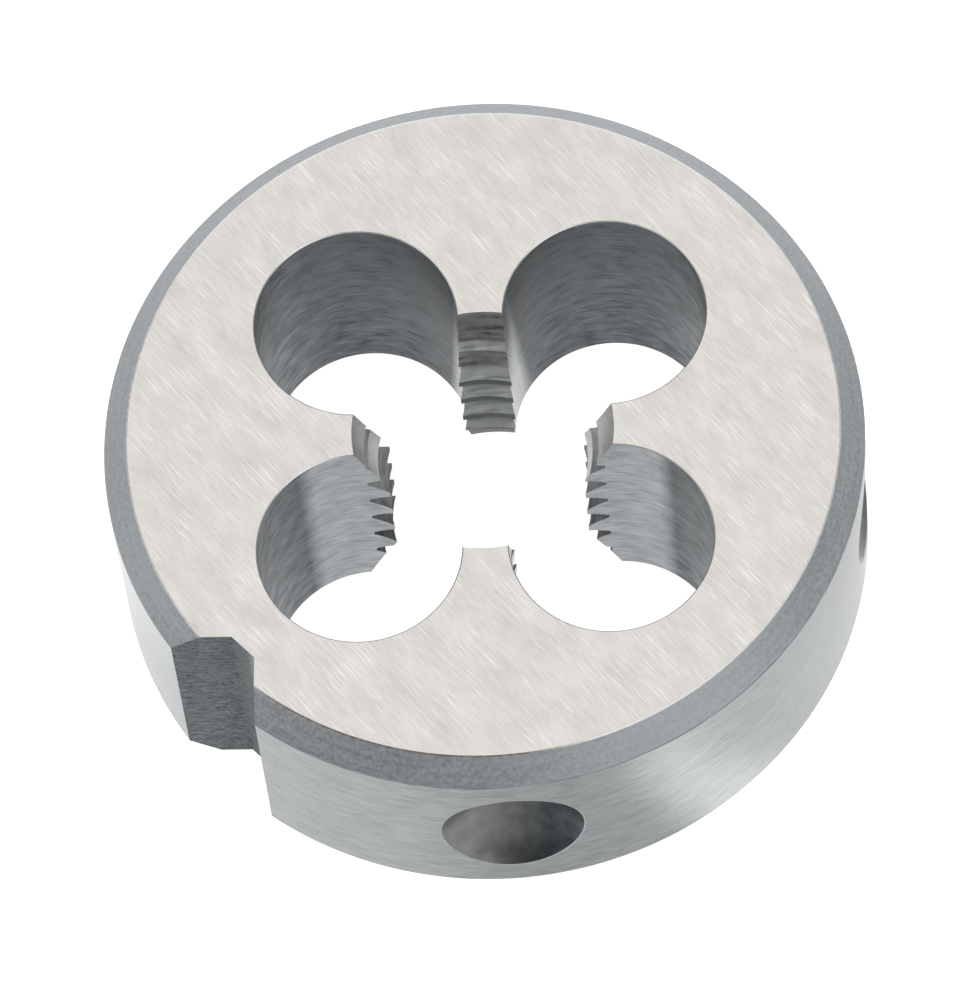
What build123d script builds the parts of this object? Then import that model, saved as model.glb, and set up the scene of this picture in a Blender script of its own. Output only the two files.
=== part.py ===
from build123d import *
from math import ceil, pi, radians, sin, sqrt, tan
import os

# Round threading die, M8 x 1.25, which cuts an outside thread on an 8 mm rod by hand.
# It is one piece of hardened steel. Sizes are millimetres and angles are degrees.
# The die stands on its lower face: the origin is the middle of that face and +Z is the thread's axis.
# The lands point along X and Y, the clearance holes lie between them, and the notch faces -X -Y.

# ---- Body ----
die_diameter = 25.0             # rim, a close fit in the bore of a die stock
die_thickness = 9.0
rim_chamfer = 0.8               # 45 degrees, at both ends of the rim

# ---- Thread ----
thread_diameter = 8.0           # outside of the finished rod
thread_pitch = 1.25
thread_start = 38.0             # direction, from +X, where a groove's centre leaves the lower face
mouth_diameter = 8.6            # bore at either face, wide enough to take the blank rod
lead_in_length = 2.5            # from either face to the first full tooth, two pitches

# ---- Clearance holes, which make the cutting edges and take the chips ----
land_count = 4
clearance_hole_diameter = 6.7
land_width = 1.5                # metal between two neighbouring holes at its narrowest

# ---- Adjusting notch in the rim, over the web that can be slit to open the die ----
notch_depth = 1.6
notch_root_width = 1.06
notch_angle = 90.0              # between its two flanks
notch_direction = 223.3         # from +X, over a clearance hole and a little short of its middle

# ---- Conical dimples for the set screws of the die stock ----
dimple_diameter = 4.7
dimple_angle = 90.0             # of the cone, side to side
closing_dimple_offset = 49.0    # the two beside the notch, from its centre line
clamping_dimple_offset = 46.5   # the two across the die, from the same line's far end

# ---- Worked out ----
die_radius = die_diameter / 2
mouth_radius = mouth_diameter / 2
land_spacing = 360 / land_count
hole_radius = clearance_hole_diameter / 2
hole_circle_radius = (hole_radius + land_width / 2) / sin(pi / land_count)

# ISO metric thread form: 60 degree flanks on a triangle whose height follows from the pitch.
flank_slope = tan(radians(30))
thread_triangle = thread_pitch * sqrt(3) / 2
tooth_height = thread_triangle * 5 / 8
groove_root_width = thread_pitch / 8
groove_root_radius = thread_diameter / 2
tooth_tip_radius = groove_root_radius - tooth_height
groove_overcut = thread_pitch / 16      # how far the groove's cutter reaches inside the tooth tips

ON_BASE = (Align.CENTER, Align.CENTER, Align.MIN)


def turned_ring():
    """The ring as it leaves the lathe, with a chamfer at each end and a bore as wide as the tooth tips."""
    blank = chamfer(Cylinder(die_radius, die_thickness, align=ON_BASE).edges(), rim_chamfer)
    return blank - Cylinder(tooth_tip_radius, die_thickness, align=ON_BASE)


def clearance_holes():
    """Round holes through the die, which part the bore's wall into separate lands."""
    hole = Cylinder(hole_radius, die_thickness, align=ON_BASE)
    return PolarLocations(hole_circle_radius, land_count, start_angle=land_spacing / 2) * hole


def groove_over_one_land():
    """The part of the right-hand helical groove that crosses one land, centred on +X at height zero."""
    rise = thread_pitch / land_count
    path = Helix(thread_pitch, rise, groove_root_radius)
    tip_side = groove_root_radius - tooth_height - groove_overcut
    root_half = groove_root_width / 2
    mouth_half = root_half + (groove_root_radius - tip_side) * flank_slope
    section = Polyline(
        (groove_root_radius, -root_half),
        (groove_root_radius, root_half),
        (tip_side, mouth_half),
        (tip_side, -mouth_half),
        close=True,
    )
    groove = sweep(Plane.XZ * make_face(section), path=path, is_frenet=True)
    return Pos(0, 0, -rise / 2) * Rot(0, 0, -land_spacing / 2) * groove


def thread_grooves():
    """The whole groove, climbing from one land to the next. Its joins fall inside the clearance holes."""
    rise = thread_pitch / land_count
    start_height = -thread_pitch * (1 + thread_start / 360)
    step_count = ceil((die_thickness + thread_pitch - start_height) / rise)
    piece = groove_over_one_land()
    return [Pos(0, 0, start_height + step * rise) * Rot(0, 0, step * land_spacing) * piece
            for step in range(step_count + 1)]


def lead_in_cones():
    """Cones that open the bore towards both faces, so that the first teeth bite little by little."""
    cone = Cone(mouth_radius, tooth_tip_radius, lead_in_length, align=ON_BASE)
    return [cone, Pos(0, 0, die_thickness) * Rot(180, 0, 0) * cone]


def adjusting_notch():
    """V-shaped groove down the rim, with a flat root."""
    root_x = die_radius - notch_depth
    mouth_x = die_radius + notch_depth
    root_half = notch_root_width / 2
    mouth_half = root_half + (mouth_x - root_x) * tan(radians(notch_angle / 2))
    section = Polyline(
        (root_x, -root_half),
        (mouth_x, -mouth_half),
        (mouth_x, mouth_half),
        (root_x, root_half),
        close=True,
    )
    return Rot(0, 0, notch_direction) * extrude(make_face(section), die_thickness)


def set_screw_dimples():
    """Four cones drilled into the rim at half its height, in two pairs about the notch's centre line."""
    slope = tan(radians(dimple_angle / 2))
    dimple_radius = dimple_diameter / 2
    point_x = sqrt(die_radius**2 - dimple_radius**2) - dimple_radius / slope
    drill_length = die_radius + rim_chamfer - point_x
    drill = Cone(0, drill_length * slope, drill_length, align=ON_BASE)
    dimple = Pos(point_x, 0, die_thickness / 2) * Rot(0, 90, 0) * drill
    sides = (closing_dimple_offset, -closing_dimple_offset,
             180 - clamping_dimple_offset, 180 + clamping_dimple_offset)
    return [Rot(0, 0, notch_direction + side) * dimple for side in sides]


die_body = turned_ring() - clearance_holes()
die_body -= thread_grooves()
die_body -= lead_in_cones()
die_body -= adjusting_notch()
die_body -= set_screw_dimples()
die_body.label = "die_body"

os.makedirs("parts", exist_ok=True)
export_step(die_body, "parts/die_body.step")
print(f"die_body: {die_body.volume:.1f} cubic mm, {len(die_body.faces())} faces, valid {die_body.is_valid}")
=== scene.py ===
# %% [markdown]
# # A round threading die, M8 x 1.25
# The real tool is one ring of hardened steel, 25 mm across and 9 mm thick. A rod is turned through its
# middle, and the teeth on its four lands cut an outside thread on the rod.
# This lesson models the ring the way a workshop makes it: a turned blank, then one cut after another.
# Every cut leaves its own finish, so each cutter carries the material that it leaves behind.

# %% Load the imported model, which fixes the die's outside size
from math import cos, pi, radians, sin, sqrt, tan

import bmesh
import bpy
from mathutils import Matrix, Vector
from mathutils.bvhtree import BVHTree


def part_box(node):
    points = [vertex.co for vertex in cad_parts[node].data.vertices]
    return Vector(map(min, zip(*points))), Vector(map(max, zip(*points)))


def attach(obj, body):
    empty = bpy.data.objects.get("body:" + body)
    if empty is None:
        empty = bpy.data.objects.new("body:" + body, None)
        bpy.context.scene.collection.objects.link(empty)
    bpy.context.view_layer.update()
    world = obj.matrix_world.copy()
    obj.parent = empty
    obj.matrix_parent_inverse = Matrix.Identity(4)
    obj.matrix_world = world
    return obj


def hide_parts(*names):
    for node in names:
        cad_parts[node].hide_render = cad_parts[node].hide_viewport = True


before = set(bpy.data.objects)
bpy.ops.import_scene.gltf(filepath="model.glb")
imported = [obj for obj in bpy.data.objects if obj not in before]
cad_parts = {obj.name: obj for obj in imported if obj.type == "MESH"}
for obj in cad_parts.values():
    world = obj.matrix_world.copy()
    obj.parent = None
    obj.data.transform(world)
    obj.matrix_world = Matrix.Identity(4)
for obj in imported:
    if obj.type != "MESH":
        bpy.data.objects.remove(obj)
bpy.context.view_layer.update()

MM = 0.001                                  # one millimetre, because Blender works in metres
cad_low, cad_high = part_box("die_body")
RIM_RADIUS = (cad_high.x - cad_low.x) / 2
THICKNESS = cad_high.z - cad_low.z
print(f"the die is {2 * RIM_RADIUS / MM:.2f} mm across and {THICKNESS / MM:.2f} mm thick")

# %% [markdown]
# ## Sizes
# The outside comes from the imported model. The rest are the sizes a maker would put on the drawing.
# Directions are degrees from +X, counter-clockwise as seen from above.

# %% Name the sizes of the die
RIM_CHAMFER = 0.8 * MM
LAND_COUNT = 4
HOLE_RADIUS = 3.35 * MM                     # the clearance holes, which make the cutting edges
LAND_WIDTH = 1.5 * MM                       # metal between two neighbouring holes at its narrowest
HOLE_CIRCLE = (HOLE_RADIUS + LAND_WIDTH / 2) / sin(pi / LAND_COUNT)
PITCH = 1.25 * MM
ROOT_RADIUS = 4.0 * MM
ROOT_WIDTH = PITCH / 8
TOOTH_HEIGHT = PITCH * sqrt(3) / 2 * 5 / 8
TIP_RADIUS = ROOT_RADIUS - TOOTH_HEIGHT
THREAD_START = 38                           # direction in which the groove leaves the lower face
MOUTH_RADIUS = 4.3 * MM
LEAD_IN = 2.5 * MM                          # from either face to the first full tooth, two pitches
NOTCH_DEPTH = 1.6 * MM
NOTCH_ROOT = 1.06 * MM
NOTCH_ANGLE = 90                            # between its two flanks
NOTCH_DIRECTION = 223.3
DIMPLE_RADIUS = 2.35 * MM
CLOSING_OFFSET = 49.0                       # the dimples beside the notch, from its centre line
CLAMPING_OFFSET = 46.5                      # the dimples across the die, from the same line's far end
EDGE_BREAK = 0.035 * MM                     # the fine flat that a stone leaves on each handled edge
WELD = 0.001 * MM                           # points about as close as this are merged into one
PAST = 1.0 * MM                             # how far a cutter runs out beyond the steel
RIM_STRIPS = 288                            # flat strips that a round wall is made of
HOLE_STRIPS = BORE_STRIPS = 144
DIMPLE_STRIPS = 96
print(f"teeth {TOOTH_HEIGHT / MM:.3f} mm high, tips at {TIP_RADIUS / MM:.3f} mm from the axis")

# %% [markdown]
# ## Writing shader maths as expressions
# A material is a tree of nodes. Clicking many Math nodes together is slow to read, so this class wraps
# one output socket and lets + - * stand for the Math nodes. `node` adds any other kind of node.

# %% A material whose nodes are written as expressions
class Wire:
    """One output socket of a material's node tree."""

    def __init__(self, tree, socket):
        self.tree = tree
        self.socket = socket

    def math(self, operation, first, second):
        return node(self.tree, "Math", {"operation": operation}, {0: first, 1: second})

    def __add__(self, other):
        return self.math("ADD", self, other)

    def __sub__(self, other):
        return self.math("SUBTRACT", self, other)

    def __rsub__(self, other):
        return self.math("SUBTRACT", other, self)

    def __mul__(self, other):
        return self.math("MULTIPLY", self, other)

    __radd__ = __add__
    __rmul__ = __mul__


def node(tree, kind, settings, inputs, output=0):
    """Add a node, set it up, feed its inputs with plain values or wires, and return one output."""
    new = tree.nodes.new("ShaderNode" + kind)
    for name, value in settings.items():
        setattr(new, name, value)
    for name, value in inputs.items():
        if isinstance(value, Wire):
            tree.links.new(value.socket, new.inputs[name])
        else:
            new.inputs[name].default_value = value
    return Wire(tree, new.outputs[output]) if new.outputs else None


# %% [markdown]
# ## Patterns
# A cutting tool leaves fine scratches in the direction in which it moved. Noise that is stretched that
# way looks like them. A Mapping node of the TEXTURE kind takes the size of one grain in real units.
# Noise keeps close to 0.5, so the middle of its range is then spread out from 0 to 1.

# %% Streaks, colour blends and a metal finish
SCRATCH_DEPTH = 0.01 * MM


def streaks(tree, size, turn=0, detail=3.0):
    """Noise whose grains are as long, wide and high as size says, turned about Z by degrees."""
    place = node(tree, "TexCoord", {}, {}, "Object")
    stretched = node(tree, "Mapping", {"vector_type": "TEXTURE"},
                     {"Vector": place, "Rotation": (0, 0, radians(turn)), "Scale": size})
    return node(tree, "TexNoise", {}, {"Vector": stretched, "Scale": 1.0, "Detail": detail}, "Fac")


def spread(tree, share, low, high):
    """Stretch the part between low and high to the whole range. It is 0 at low and 1 at high."""
    inputs = {"Value": share, "From Min": low, "From Max": high}
    return node(tree, "MapRange", {"clamp": True}, inputs)


def mix(tree, share, first, second):
    """Two colours mixed, where a colour is four numbers or a wire."""
    factor, first_input, second_input, result = 0, 6, 7, 2      # a Mix node's sockets for colours
    inputs = {factor: share, first_input: first, second_input: second}
    return node(tree, "Mix", {"data_type": "RGBA"}, inputs, result)


def blend(tree, share, dark, light):
    """A colour between dark and light, which are red, green and blue."""
    return mix(tree, share, (*dark, 1), (*light, 1))


def steel(name, pattern, dark, light, roughness, bump, anisotropic=0.0):
    """A metal finish. The pattern moves its colour, its roughness and its relief together."""
    material = bpy.data.materials.new(name)
    material.use_nodes = True
    tree = material.node_tree
    tree.nodes.clear()
    share = pattern(tree)
    smoothest, roughest = roughness
    relief = node(tree, "Bump", {}, {"Strength": bump, "Distance": SCRATCH_DEPTH, "Height": share})
    surface = node(tree, "BsdfPrincipled", {}, {
        "Base Color": blend(tree, share, dark, light), "Metallic": 1.0,
        "Roughness": smoothest + (roughest - smoothest) * share,
        "Anisotropic": anisotropic, "Normal": relief})
    node(tree, "OutputMaterial", {}, {"Surface": surface})
    return material


# %% [markdown]
# ## Finishes
# The two faces and the rim are ground after hardening, so they are bright. A surface grinder runs
# straight over the faces, and a cylindrical grinder runs round the rim. The chamfers, the notch, the
# dimples and the outer parts of the holes keep the darker skin of the furnace. Beside the lands the
# walls of the holes are ground bright again, because there they are the faces that cut, and a
# highlight is painted over that bright zone too. Some other walls also get painted light or shade.

# %% Patterns for the ground faces and the rim
GRINDING_TURN = -53                         # the way the surface grinder's wheel ran


def face_pattern(tree):
    fine = streaks(tree, (0.6 * MM, 0.06 * MM, 1.0), GRINDING_TURN, detail=4.0)
    broad = streaks(tree, (1.6 * MM, 0.8 * MM, 1.0), GRINDING_TURN)
    strokes = streaks(tree, (1.5 * MM, 0.065 * MM, 1.0), GRINDING_TURN + 2, detail=1.0)
    patches = streaks(tree, (1.5 * MM, 1.5 * MM, 1.0))
    scratches = spread(tree, strokes + patches * 0.35, 0.76, 0.90)
    return spread(tree, fine * 0.5 + broad * 0.5, 0.3, 0.7) * 0.6 + scratches * 0.4


def rim_pattern(tree):
    fine = streaks(tree, (0.7 * MM, 0.7 * MM, 0.045 * MM), detail=4.0)
    clouds = streaks(tree, (1.2 * MM, 1.2 * MM, 0.4 * MM))
    return spread(tree, fine * 0.7 + clouds * 0.3, 0.36, 0.64)


# %% Patterns for the darker walls
def grain_pattern(tree):
    fine = streaks(tree, (0.14 * MM, 0.14 * MM, 0.10 * MM), detail=4.0)
    turned = streaks(tree, (4 * MM, 4 * MM, 0.1 * MM))
    return spread(tree, fine * 0.65 + turned * 0.35, 0.36, 0.64)


def reamed_pattern(tree):
    rings = streaks(tree, (0.6 * MM, 0.6 * MM, 0.1 * MM))
    patches = streaks(tree, (0.9 * MM, 0.9 * MM, 0.45 * MM), detail=4.0)
    return spread(tree, rings * 0.5 + patches * 0.5, 0.36, 0.64)


def milled_pattern(tree):
    marks = streaks(tree, (0.4 * MM, 0.4 * MM, 0.13 * MM), detail=4.0)
    grit = streaks(tree, (0.11 * MM, 0.11 * MM, 0.11 * MM), detail=4.0)
    return spread(tree, marks * 0.5 + grit * 0.5, 0.36, 0.64)


def tapped_pattern(tree):
    rings = streaks(tree, (1.5 * MM, 1.5 * MM, 0.06 * MM))
    patches = streaks(tree, (0.4 * MM, 0.4 * MM, 0.25 * MM))
    return spread(tree, rings * 0.6 + patches * 0.4, 0.34, 0.66)


def cloudy_pattern(tree):
    return spread(tree, streaks(tree, (0.5 * MM, 0.5 * MM, 0.5 * MM), detail=5.0), 0.27, 0.73)


# %% Make one material for each finish
ground_face = steel("ground_face", face_pattern, (0.465, 0.447, 0.427), (0.77, 0.747, 0.722),
                    roughness=(0.34, 0.46), bump=0.4)
ground_rim = steel("ground_rim", rim_pattern, (0.14, 0.15, 0.155), (0.265, 0.28, 0.28),
                   roughness=(0.26, 0.38), bump=0.35, anisotropic=0.6)
turned_chamfer = steel("turned_chamfer", grain_pattern, (0.31, 0.33, 0.34), (0.44, 0.46, 0.475),
                       roughness=(0.45, 0.6), bump=0.25)
milled_notch = steel("milled_notch", milled_pattern, (0.02, 0.028, 0.032), (0.175, 0.20, 0.205),
                     roughness=(0.5, 0.65), bump=0.6)
drilled_dimple = steel("drilled_dimple", cloudy_pattern, (0.145, 0.145, 0.14), (0.215, 0.213, 0.206),
                       roughness=(0.25, 0.36), bump=0.15)
cut_thread = steel("cut_thread", tapped_pattern, (0.24, 0.25, 0.255), (0.46, 0.47, 0.475),
                   roughness=(0.26, 0.4), bump=0.25)
# dark skin, and painted shade where it lies in the roots of the thread grooves
thread_skin_and_painted_shade = steel("thread_skin_and_painted_shade", tapped_pattern, (0.03, 0.035, 0.035), (0.13, 0.14, 0.14),
                    roughness=(0.45, 0.6), bump=0.3)
lead_in_cone = steel("lead_in_cone", tapped_pattern, (0.50, 0.50, 0.492), (0.76, 0.758, 0.748),
                     roughness=(0.24, 0.4), bump=0.25)
stoned_edge = steel("stoned_edge", grain_pattern, (0.60, 0.60, 0.59), (0.74, 0.74, 0.73),
                    roughness=(0.3, 0.42), bump=0.1)
reamed_hole = steel("reamed_hole", reamed_pattern, (0.045, 0.052, 0.058), (0.205, 0.22, 0.23),
                    roughness=(0.42, 0.58), bump=0.45, anisotropic=0.4)
print(len(bpy.data.materials), "materials")

# %% [markdown]
# ## Two finishes, or painted light and shade, on one wall
# Some walls have more than one finish, with a soft border between the two. A mask that runs from 0 to 1
# blends the second finish over the first, and the mask is made from a point's place on the die. The
# Object output of a Texture Coordinate node gives that place, measured from the object's origin. The
# two numbers that spread is given are then the millimetres at which the mask is 0 and 1. The same
# blend also paints light and shade onto some walls.

# %% Masks and a helper that blends a second finish, or painted light and shade, in
def coordinate(tree, axis):
    """How far a point lies along X, Y or Z, in millimetres."""
    place = node(tree, "TexCoord", {}, {}, "Object")
    return node(tree, "SeparateXYZ", {}, {"Vector": place}, axis) * (1 / MM)


def reach(tree, degrees):
    """How far a point lies from the axis in one direction, in millimetres."""
    turn = radians(degrees)
    return coordinate(tree, "X") * cos(turn) + coordinate(tree, "Y") * sin(turn)


def add_finish_or_painted_light(material, mask, pattern, dark, light, roughness):
    """Where the mask is 1, the surface takes these colours and this roughness instead of its own."""
    tree = material.node_tree
    surface = tree.nodes["Principled BSDF"]
    first_colour = Wire(tree, surface.inputs["Base Color"].links[0].from_socket)
    first_roughness = Wire(tree, surface.inputs["Roughness"].links[0].from_socket)
    colour = mix(tree, mask, first_colour, blend(tree, pattern(tree), dark, light))
    tree.links.new(colour.socket, surface.inputs["Base Color"])
    mixed = first_roughness * (1.0 - mask) + mask * roughness
    tree.links.new(mixed.socket, surface.inputs["Roughness"])


# %% [markdown]
# The wall of a clearance hole has painted shade near the lower face, and painted light at the far left
# and right of the die. Beside the lands it is ground bright, with a painted highlight over it, up to
# about 6 mm from the axis. Behind the axis that zone gets narrower upwards, like the painted highlight.

# %% The three zones of a clearance hole: painted shade, painted light, and ground with a painted highlight
def ground_and_painted_highlight_zone(tree):
    """1 where the wall was ground to cut, with a painted highlight over the same zone."""
    place = node(tree, "TexCoord", {}, {}, "Object")
    flat = node(tree, "Mapping", {}, {"Vector": place, "Scale": (1 / MM, 1 / MM, 0)})
    away = node(tree, "VectorMath", {"operation": "LENGTH"}, {0: flat}, "Value")
    # behind the axis the zone narrows upwards, following the painted highlight
    behind = spread(tree, coordinate(tree, "Y"), 0.0, 3.0)
    lean = 0.12                             # millimetres that the border moves in for each one up
    return 1.0 - spread(tree, away + behind * coordinate(tree, "Z") * lean, 5.75, 6.3)


tree = reamed_hole.node_tree
# painted shade: the wall is darker towards the lower face, deep in the hole
painted_shade_near_the_foot = spread(tree, coordinate(tree, "Z"), 4.5, 0.0) * 0.8
sideways = node(tree, "Math", {"operation": "ABSOLUTE"}, {0: coordinate(tree, "X")})
# painted light: the wall is lighter at the far left and right of the die
painted_light_far_out = spread(tree, sideways, 5.6, 7.2)
add_finish_or_painted_light(reamed_hole, painted_shade_near_the_foot, reamed_pattern, (0.03, 0.036, 0.04), (0.15, 0.163, 0.172),
           roughness=0.5)
add_finish_or_painted_light(reamed_hole, painted_light_far_out, reamed_pattern, (0.085, 0.094, 0.10), (0.27, 0.287, 0.298),
           roughness=0.5)
# ground bright beside the lands, with a painted highlight over the same zone
add_finish_or_painted_light(reamed_hole, ground_and_painted_highlight_zone(tree), reamed_pattern, (0.20, 0.215, 0.225), (0.36, 0.375, 0.385),
           roughness=0.22)
print(reamed_hole.name, "has", len(tree.nodes), "nodes")

# %% [markdown]
# The chamfer has painted shade in front, next to the notch, and its edge is darker and browner there.
# One flank of the notch has painted light, so it is lighter than the rest of it. The front dimple has
# painted shade on its right side, towards +X, and the same mask reaches the one behind. A second mask,
# which falls from 1 to 0 further out, keeps that painted shade off the dimple at the right.

# %% Painted shade on the chamfer and two of the dimples, painted light on the notch, a darker edge in front
NOTCH_SIDE, FRONT_SIDE = 240, 255

tree = turned_chamfer.node_tree
# painted shade: the chamfer is darker towards the front left, beside the notch
painted_shade_beside_the_notch = spread(tree, reach(tree, NOTCH_SIDE), 9.8, 11.6) * 0.5
add_finish_or_painted_light(turned_chamfer, painted_shade_beside_the_notch, grain_pattern, (0.20, 0.215, 0.225), (0.37, 0.39, 0.40),
           roughness=0.55)
tree = stoned_edge.node_tree
# the broken edge is darker and browner in front
in_front = spread(tree, reach(tree, FRONT_SIDE), 10.0, 11.0)
add_finish_or_painted_light(stoned_edge, in_front, grain_pattern, (0.12, 0.108, 0.098), (0.26, 0.24, 0.22),
           roughness=0.5)
tree = milled_notch.node_tree
# painted light: the notch's right flank is made lighter than its root and its left flank
painted_light_right_flank = spread(tree, reach(tree, NOTCH_DIRECTION + 90), 0.15, 0.5)
add_finish_or_painted_light(milled_notch, painted_light_right_flank, milled_pattern, (0.13, 0.147, 0.152), (0.30, 0.325, 0.33),
           roughness=0.5)
tree = drilled_dimple.node_tree
rightwards = coordinate(tree, "X")
# painted shade: the dimple is darker towards +X, and the second mask ends it before the dimple at the
# right
painted_shade_on_the_right = spread(tree, rightwards, -0.9, 1.7) * spread(tree, rightwards, 6, 4)
add_finish_or_painted_light(drilled_dimple, painted_shade_on_the_right, cloudy_pattern, (0.02, 0.026, 0.028), (0.055, 0.064, 0.068),
           roughness=0.34)
for finish in (turned_chamfer, stoned_edge, milled_notch, drilled_dimple):
    print(finish.name, "has", len(finish.node_tree.nodes), "nodes")

# %% [markdown]
# ## Working by hand with operators
# Operators act on whatever is selected, and loading the model leaves its nodes selected. So everything
# is deselected before each new piece. A piece's place is then applied, which puts it into the mesh.

# %% Helpers for selecting, drawing and cutting
def deselect_all():
    bpy.ops.object.select_all(action="DESELECT")


def pick(piece):
    """Select this piece alone and make it the active one."""
    deselect_all()
    piece.select_set(True)
    bpy.context.view_layer.objects.active = piece


def settle(name, material=None):
    """Name the new piece, move its place into its mesh, and give it its finish."""
    piece = bpy.context.object
    piece.name = name
    bpy.ops.object.transform_apply(location=True, rotation=True, scale=True)
    if material:
        piece.data.materials.append(material)
    return piece


def edit(piece):
    """Open one piece in edit mode with nothing selected, and return its editable mesh."""
    pick(piece)
    bpy.ops.object.mode_set(mode="EDIT")
    bpy.ops.mesh.select_all(action="DESELECT")
    return bmesh.from_edit_mesh(piece.data)


def select(parts):
    """Select these edges or faces. Nothing is set to False, which would also clear their neighbours."""
    for part in parts:
        part.select = True


def close():
    """Leave edit mode, which sends the changes to the mesh."""
    bpy.ops.object.mode_set(mode="OBJECT")


def apply_modifier(piece, kind, settings):
    """Add a modifier, set it up and apply it."""
    pick(piece)
    modifier = piece.modifiers.new(kind.lower(), kind)
    for name, value in settings.items():
        setattr(modifier, name, value)
    bpy.ops.object.modifier_apply(modifier=modifier.name)


def cut(piece, cutter):
    """Take the cutter's shape out of the piece. The new walls keep the cutter's material."""
    settings = {"operation": "DIFFERENCE", "solver": "EXACT", "object": cutter,
                "material_mode": "TRANSFER"}
    apply_modifier(piece, "BOOLEAN", settings)
    bpy.data.objects.remove(cutter)


def turned_copy(piece, degrees):
    """A copy with a mesh of its own, turned about the thread's axis."""
    pick(piece)
    bpy.ops.object.duplicate()
    bpy.context.object.rotation_euler.z = radians(degrees)
    return settle(piece.name)


def draw_line(name, points, material):
    """A chain of edges, drawn by extruding one vertex from each point to the next."""
    deselect_all()
    bpy.ops.mesh.primitive_plane_add(size=MM, location=points[0])
    piece = settle(name, material)
    bpy.ops.object.mode_set(mode="EDIT")
    bpy.ops.mesh.select_all(action="SELECT")
    bpy.ops.mesh.merge(type="CENTER")
    for start, end in zip(points, points[1:]):
        step = Vector(end) - Vector(start)
        bpy.ops.mesh.extrude_region_move(TRANSFORM_OT_translate={"value": step})
    close()
    return piece


def direction(degrees, radius, height):
    """The point at that radius and height, in that direction from the axis."""
    return Vector((radius * cos(radians(degrees)), radius * sin(radians(degrees)), height))


# %% [markdown]
# ## The turned blank
# The blank starts as a cylinder, and both ends get a 45 degree chamfer. In edit mode the edges of the
# end caps are found by their place, with both points at one height, and bevelled in one go.

# %% Turn the blank
deselect_all()
bpy.ops.mesh.primitive_cylinder_add(
    vertices=RIM_STRIPS, radius=RIM_RADIUS, depth=THICKNESS, location=(0, 0, THICKNESS / 2))
die = settle("threading_die", ground_rim)
finishes = die.data.materials
for finish in (ground_face, turned_chamfer, stoned_edge):
    finishes.append(finish)

mesh = edit(die)
select([edge for edge in mesh.edges
        if abs(edge.verts[0].co.z - edge.verts[1].co.z) < THICKNESS / 2])
bpy.ops.mesh.bevel(offset=RIM_CHAMFER, segments=1, material=finishes.find("turned_chamfer"))
mesh = bmesh.from_edit_mesh(die.data)
for face in mesh.faces:
    if abs(face.normal.z) > 0.99:           # the two caps lie flat
        face.material_index = finishes.find("ground_face")
bmesh.update_edit_mesh(die.data)
close()
print("blank:", len(die.data.polygons), "faces")

# %% [markdown]
# ## Breaking the edges
# A stone takes the burr off the edges of the faces, of the rim and of its dimples. The flat that it
# leaves is a few hundredths wide. Round the ground faces it shows as a thin line, along the rim it is
# as dull as the rim itself, and round a dimple it looks like the chamfer.

# %% A helper that stones the edges between two finishes
def break_edges(piece, one, other, flat):
    """Bevel the edges where faces of two finishes meet. The narrow flat gets a finish of its own."""
    mesh = edit(piece)
    finishes = piece.data.materials
    pair = {finishes.find(one), finishes.find(other)}
    meeting = [edge for edge in mesh.edges
               if {face.material_index for face in edge.link_faces} == pair]
    select(meeting)
    bpy.ops.mesh.bevel(offset=EDGE_BREAK, segments=1, clamp_overlap=False,
                       material=finishes.find(flat))
    close()
    print("stoned", len(meeting), "edges between", one, "and", other)


break_edges(die, "ground_face", "turned_chamfer", "stoned_edge")
break_edges(die, "ground_rim", "turned_chamfer", "ground_rim")

# %% [markdown]
# ## Clearance holes
# Four round holes stand round the middle. They split the bore into four lands, and they carry the chips
# away. One drill is modelled, and each hole is cut by a copy of it, turned to its place.

# %% Drill the clearance holes
deselect_all()
bpy.ops.mesh.primitive_cylinder_add(
    vertices=HOLE_STRIPS, radius=HOLE_RADIUS, depth=THICKNESS + 2 * PAST,
    location=direction(180 / LAND_COUNT, HOLE_CIRCLE, THICKNESS / 2))
drill = settle("drill", reamed_hole)
for hole in range(LAND_COUNT):
    cut(die, turned_copy(drill, 360 / LAND_COUNT * hole))
bpy.data.objects.remove(drill)
break_edges(die, "ground_face", "reamed_hole", "stoned_edge")

# %% [markdown]
# ## The adjusting notch
# The notch is a V with a flat root, milled down the whole rim. If the web behind it is slit, a screw in
# the notch spreads the die. Its section is drawn point by point, filled, and extruded upwards.

# %% Mill the notch
root_x, mouth_x = RIM_RADIUS - NOTCH_DEPTH, RIM_RADIUS + PAST
root_half = NOTCH_ROOT / 2
mouth_half = root_half + (mouth_x - root_x) * tan(radians(NOTCH_ANGLE / 2))
corners = [(root_x, -root_half), (mouth_x, -mouth_half), (mouth_x, mouth_half), (root_x, root_half)]
turn = Matrix.Rotation(radians(NOTCH_DIRECTION), 3, "Z")
notch = draw_line("mill", [turn @ Vector((x, y, -PAST)) for x, y in corners], milled_notch)
edit(notch)
bpy.ops.mesh.select_all(action="SELECT")
bpy.ops.mesh.edge_face_add()
bpy.ops.mesh.extrude_region_move(TRANSFORM_OT_translate={"value": (0, 0, THICKNESS + 2 * PAST)})
bpy.ops.mesh.select_all(action="SELECT")
bpy.ops.mesh.normals_make_consistent(inside=False)
close()
cut(die, notch)
print("with the notch:", len(die.data.polygons), "faces")

# %% [markdown]
# ## Set-screw dimples
# Screws in the die stock press into four shallow cones at half the height of the rim. A cone primitive
# is laid on its side so that its point looks at the axis, and then copied and turned like the drill.
# Its sides meet at 90 degrees, so its base has a radius as long as the cone.

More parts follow.
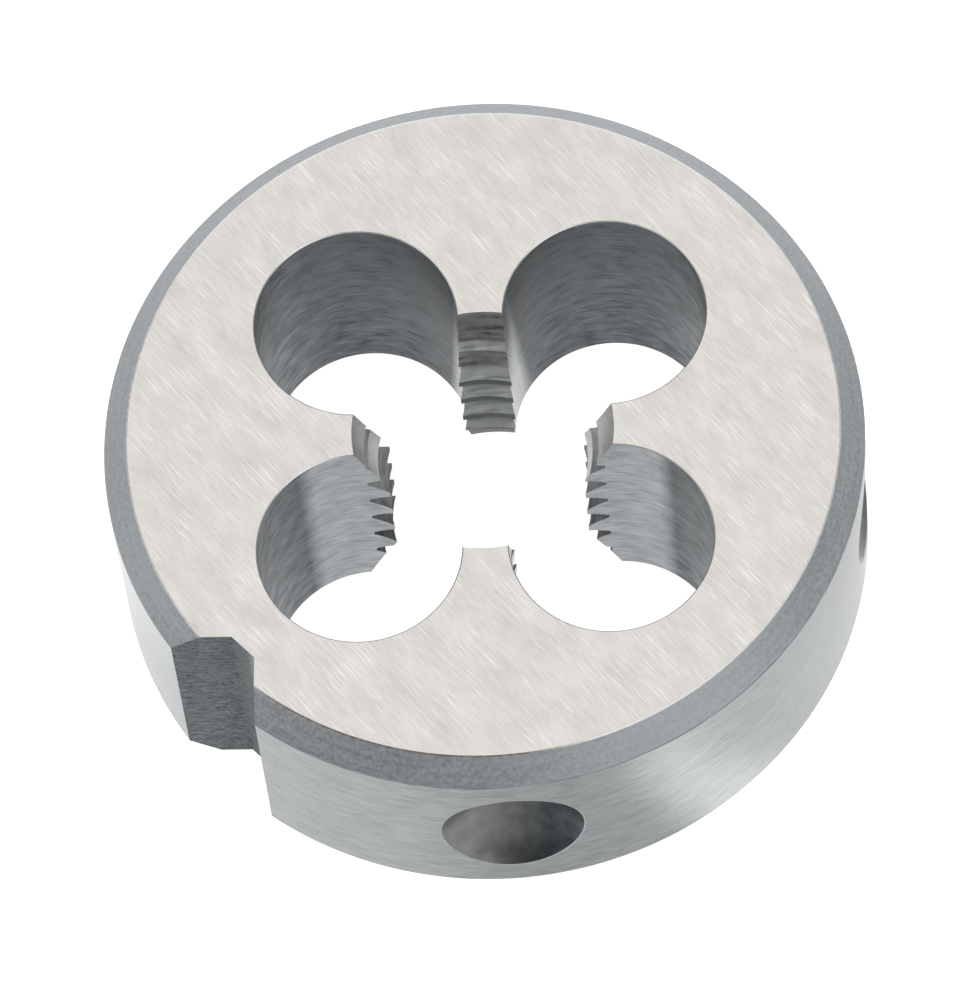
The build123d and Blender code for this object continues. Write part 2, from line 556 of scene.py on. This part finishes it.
# %% Drill the dimples
point_x = sqrt(RIM_RADIUS ** 2 - DIMPLE_RADIUS ** 2) - DIMPLE_RADIUS
drill_length = RIM_RADIUS + PAST - point_x
deselect_all()
bpy.ops.mesh.primitive_cone_add(
    vertices=DIMPLE_STRIPS, radius1=0, radius2=drill_length, depth=drill_length,
    location=(point_x + drill_length / 2, 0, THICKNESS / 2), rotation=(0, radians(90), 0))
countersink = settle("countersink", drilled_dimple)
for side in (CLOSING_OFFSET, -CLOSING_OFFSET, 180 - CLAMPING_OFFSET, 180 + CLAMPING_OFFSET):
    cut(die, turned_copy(countersink, NOTCH_DIRECTION + side))
bpy.data.objects.remove(countersink)
break_edges(die, "ground_rim", "drilled_dimple", "turned_chamfer")

# %% [markdown]
# ## The cutting teeth
# The teeth are what is left when a tap is turned through the bore. So the cutter is a tap: the outline
# of one pitch, swept by a Screw modifier that climbs one pitch in each turn. Each open end is closed by
# pulling its edge together into one point, well outside the die. The tips and roots of the teeth keep
# a dark skin, which in the groove roots is also painted shade between the teeth, and their flanks are
# cut clean.

# %% Cut the thread with a tap
FLANK_ANGLE = 60                            # between the two flanks of a groove
TAP_TURNS, STRIPS_PER_TURN = 11, 120
groove_half = ROOT_WIDTH / 2 + TOOTH_HEIGHT * tan(radians(FLANK_ANGLE / 2))
low_groove = -2 * PITCH
outline = [(TIP_RADIUS, -PITCH / 2), (TIP_RADIUS, -groove_half), (ROOT_RADIUS, -ROOT_WIDTH / 2),
           (ROOT_RADIUS, ROOT_WIDTH / 2), (TIP_RADIUS, groove_half), (TIP_RADIUS, PITCH / 2)]
spiral_start = Matrix.Rotation(radians(THREAD_START), 3, "Z")
tap = draw_line("tap", [spiral_start @ Vector((x, 0, z + low_groove)) for x, z in outline], cut_thread)
apply_modifier(tap, "SCREW", {
    "angle": 2 * pi, "screw_offset": PITCH, "iterations": TAP_TURNS,
    "steps": STRIPS_PER_TURN, "render_steps": STRIPS_PER_TURN,
    "use_merge_vertices": True, "merge_threshold": WELD})
edit(tap)
bpy.ops.mesh.select_all(action="SELECT")
bpy.ops.mesh.remove_doubles(threshold=WELD)
for end in (-1, 1):
    bpy.ops.mesh.select_all(action="DESELECT")
    mesh = bmesh.from_edit_mesh(tap.data)
    select([edge for edge in mesh.edges
            if edge.is_boundary and (edge.verts[0].co.z - THICKNESS / 2) * end > 0])
    bpy.ops.mesh.extrude_edges_move()
    bpy.ops.mesh.merge(type="CENTER")
bpy.ops.mesh.select_all(action="SELECT")
bpy.ops.mesh.normals_make_consistent(inside=False)
mesh = bmesh.from_edit_mesh(tap.data)
tap.data.materials.append(thread_skin_and_painted_shade)
for face in mesh.faces:
    if abs(face.normal.z) < 0.1:            # the tips and roots of the teeth stand upright
        # the roots are darkened as painted shade between the teeth, the tips as skin
        face.material_index = tap.data.materials.find("thread_skin_and_painted_shade")
bmesh.update_edit_mesh(tap.data)
open_edges = sum(not edge.is_manifold for edge in mesh.edges)
print("tap:", len(mesh.faces), "faces,", open_edges, "open edges")
close()
cut(die, tap)

# %% [markdown]
# ## Lead-in cones
# Cones open the bore towards both faces, so that the first teeth bite little by little. They are cut
# last, and they leave the outer teeth lower and lower. Only the upper cone is cut clean.

# %% Open both ends of the bore
cone_slope = (MOUTH_RADIUS - TIP_RADIUS) / LEAD_IN
cone_length = LEAD_IN + PAST
middle = cone_length / 2 - LEAD_IN          # of a cone, measured outwards from its face
narrow, wide = TIP_RADIUS, TIP_RADIUS + cone_slope * cone_length
for height, low_radius, high_radius, finish in (
        (-middle, wide, narrow, thread_skin_and_painted_shade),
        (THICKNESS + middle, narrow, wide, lead_in_cone)):
    deselect_all()
    bpy.ops.mesh.primitive_cone_add(
        vertices=BORE_STRIPS, radius1=low_radius, radius2=high_radius, depth=cone_length,
        location=(0, 0, height))
    cut(die, settle("reamer", finish))
print("with the thread and its cones:", len(die.data.polygons), "faces")

# %% [markdown]
# ## Smooth shading
# Round walls are many flat strips. Shading them smooth hides the strips, and edges sharper than 15
# degrees stay crisp. Weighted normals keep the big flat faces flat beside their broken edges.

# %% Clean the mesh and shade it smooth
SHARP_ANGLE = 15
edit(die)
bpy.ops.mesh.select_all(action="SELECT")
bpy.ops.mesh.remove_doubles(threshold=WELD / 2)
bpy.ops.mesh.select_all(action="DESELECT")
close()
pick(die)
bpy.ops.object.shade_smooth_by_angle(angle=radians(SHARP_ANGLE))
apply_modifier(die, "WEIGHTED_NORMAL", {"keep_sharp": True, "weight": 100})
print("after merging:", len(die.data.vertices), "points")

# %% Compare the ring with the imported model
mesh = bmesh.new()
mesh.from_mesh(die.data)
open_edges = sum(not edge.is_manifold for edge in mesh.edges)
volume = mesh.calc_volume() / MM ** 3
mesh.free()
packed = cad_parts["die_body"].data
packed_surface = BVHTree.FromPolygons([vertex.co for vertex in packed.vertices],
                                      [face.vertices for face in packed.polygons])
farthest = max(packed_surface.find_nearest(vertex.co)[3] for vertex in die.data.vertices)
triangles = sum(len(face.vertices) - 2 for face in die.data.polygons)
print(f"{triangles} triangles, {open_edges} open edges, {volume:.1f} cubic mm, "
      f"farthest from the packed model {farthest / MM:.3f} mm")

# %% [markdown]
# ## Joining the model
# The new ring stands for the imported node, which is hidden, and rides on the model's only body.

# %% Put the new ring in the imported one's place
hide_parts("die_body")
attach(die, "root")
print(die.name, "stands for die_body and rides on root")

# %% [markdown]
# ## Floor
# The die lies on a white table that glows. The wall of the rim is upright, so seen from above it
# mirrors the table close to the die. Brighter glow is painted onto the table at both sides of the die,
# where no lamp stands. The rim mirrors that painted light, which makes it bright at the sides and
# leaves it darker in front, which shows that it is round.

# %% Lay the glowing table
TABLE_SIZE = 3                              # metres, so that its edge is out of sight
deselect_all()
bpy.ops.mesh.primitive_plane_add(size=TABLE_SIZE, location=(0, 0, 0))
floor = settle("floor")
white = bpy.data.materials.new("white_table")
white.use_nodes = True
tree = white.node_tree
rightwards = coordinate(tree, "X")
place = node(tree, "TexCoord", {}, {}, "Object")
away = node(tree, "VectorMath", {"operation": "LENGTH"}, {0: place}, "Value") * (1 / MM)
# painted light: brighter patches of glow at the right and left of the die, which the rim mirrors
right_painted_glow = spread(tree, rightwards, 5.8, 7.6) - spread(tree, rightwards, 8.5, 10.2) * 0.7
right_painted_glow_fade = spread(tree, rightwards, 13, 16) * -0.2            # the painted glow fades at its far side
left_painted_glow = spread(tree, rightwards, 0.5, -4) * 0.32
left_painted_glow_edge = spread(tree, rightwards, -13, -16) * 0.5            # this painted glow is brightest there
# lamps is the sum of these painted glow patches on the table, not real lamps
lamps = right_painted_glow + right_painted_glow_fade + left_painted_glow + left_painted_glow_edge
beside_the_die = spread(tree, away, 11, 12.5) - spread(tree, away, 17, 26)
# the table glows evenly at 1, plus the painted patches up to 2.1 in a ring beside the die
even_and_painted_glow = blend(tree, lamps * beside_the_die, (1.0, 1.0, 1.0), (2.1, 2.1, 2.1))
shade = tree.nodes["Principled BSDF"]
shade.inputs["Base Color"].default_value = (0.2, 0.2, 0.2, 1)
shade.inputs["Roughness"].default_value = 0.9
shade.inputs["Specular IOR Level"].default_value = 0.0
shade.inputs["Emission Strength"].default_value = 1.0
tree.links.new(even_and_painted_glow.socket, shade.inputs["Emission Color"])
floor.data.materials.append(white)
print("the table is", TABLE_SIZE, "metres wide")

# %% [markdown]
# ## Light
# Steel shows what it mirrors. A wide soft lamp overhead is for the face. Two low ones, at the right
# front and at the left, are for the chamfer. One behind is for the broken edges at the near side of
# the holes.

# %% Hang the lamps
def softbox(name, azimuth, elevation, distance, width, height, radiance, colour=(1, 1, 1)):
    """A rectangular lamp that faces the die, as bright as radiance wherever it is mirrored."""
    lamp = bpy.data.lights.new(name, "AREA")
    lamp.shape = "RECTANGLE"
    lamp.size, lamp.size_y = width, height
    lamp.energy = radiance * pi * width * height
    lamp.color = colour
    holder = bpy.data.objects.new(name, lamp)
    bpy.context.scene.collection.objects.link(holder)
    away = direction(azimuth, distance * cos(radians(elevation)), distance * sin(radians(elevation)))
    holder.location = away
    holder.rotation_euler = away.to_track_quat("Z", "Y").to_euler()


softbox("overhead", azimuth=90, elevation=80, distance=0.6, width=0.9, height=0.9, radiance=1.0,
        colour=(1.0, 0.985, 0.96))
softbox("right_side", azimuth=-46, elevation=22, distance=0.5, width=0.4, height=0.22, radiance=1.3)
softbox("behind", azimuth=90, elevation=20, distance=0.6, width=0.9, height=0.3, radiance=1.0)
softbox("left_side", azimuth=190, elevation=15, distance=0.5, width=0.4, height=0.4, radiance=0.55)

world = bpy.data.worlds.new("studio")
bpy.context.scene.world = world
world.use_nodes = True
background = world.node_tree.nodes["Background"]
background.inputs["Color"].default_value = (0.88, 0.9, 0.92, 1)
background.inputs["Strength"].default_value = 0.45
print(len(bpy.data.lights), "lamps")

# %% [markdown]
# ## Camera
# The camera stands far off with a long lens, high above the front of the die. Its back points from the
# die to the camera, and the roll tips the picture round that line.

# %% Place the camera
CAMERA_AZIMUTH = 4.75                       # round to the right of straight in front
CAMERA_ELEVATION = 64.185
CAMERA_DISTANCE = 286.3 * MM
CAMERA_ROLL = -6.72
CAMERA_TARGET = Vector((0.013, -0.067, 4.5)) * MM
FOCAL_PIXELS = 8632.7                       # the lens's focal length, in pixels of the picture
PICTURE_HEIGHT = 981
SENSOR = 36.0                               # millimetres along the picture's longer side

back = Vector((sin(radians(CAMERA_AZIMUTH)) * cos(radians(CAMERA_ELEVATION)),
               -cos(radians(CAMERA_AZIMUTH)) * cos(radians(CAMERA_ELEVATION)),
               sin(radians(CAMERA_ELEVATION))))
level = back.cross(Vector((0, 0, 1))).normalized() * -1
over = back.cross(level)
right = cos(radians(CAMERA_ROLL)) * level + sin(radians(CAMERA_ROLL)) * over
upwards = back.cross(right)

lens = bpy.data.cameras.new("camera")
lens.sensor_width = SENSOR
lens.lens = FOCAL_PIXELS / PICTURE_HEIGHT * SENSOR
lens.clip_start = 10 * MM
camera = bpy.data.objects.new("camera", lens)
bpy.context.scene.collection.objects.link(camera)
camera.matrix_world = Matrix.Translation(CAMERA_TARGET + back * CAMERA_DISTANCE) @ Matrix(
    (right, upwards, back)).transposed().to_4x4()
bpy.context.scene.camera = camera
bpy.context.scene.view_settings.view_transform = "Standard"
print("lens", round(lens.lens, 1), "mm")
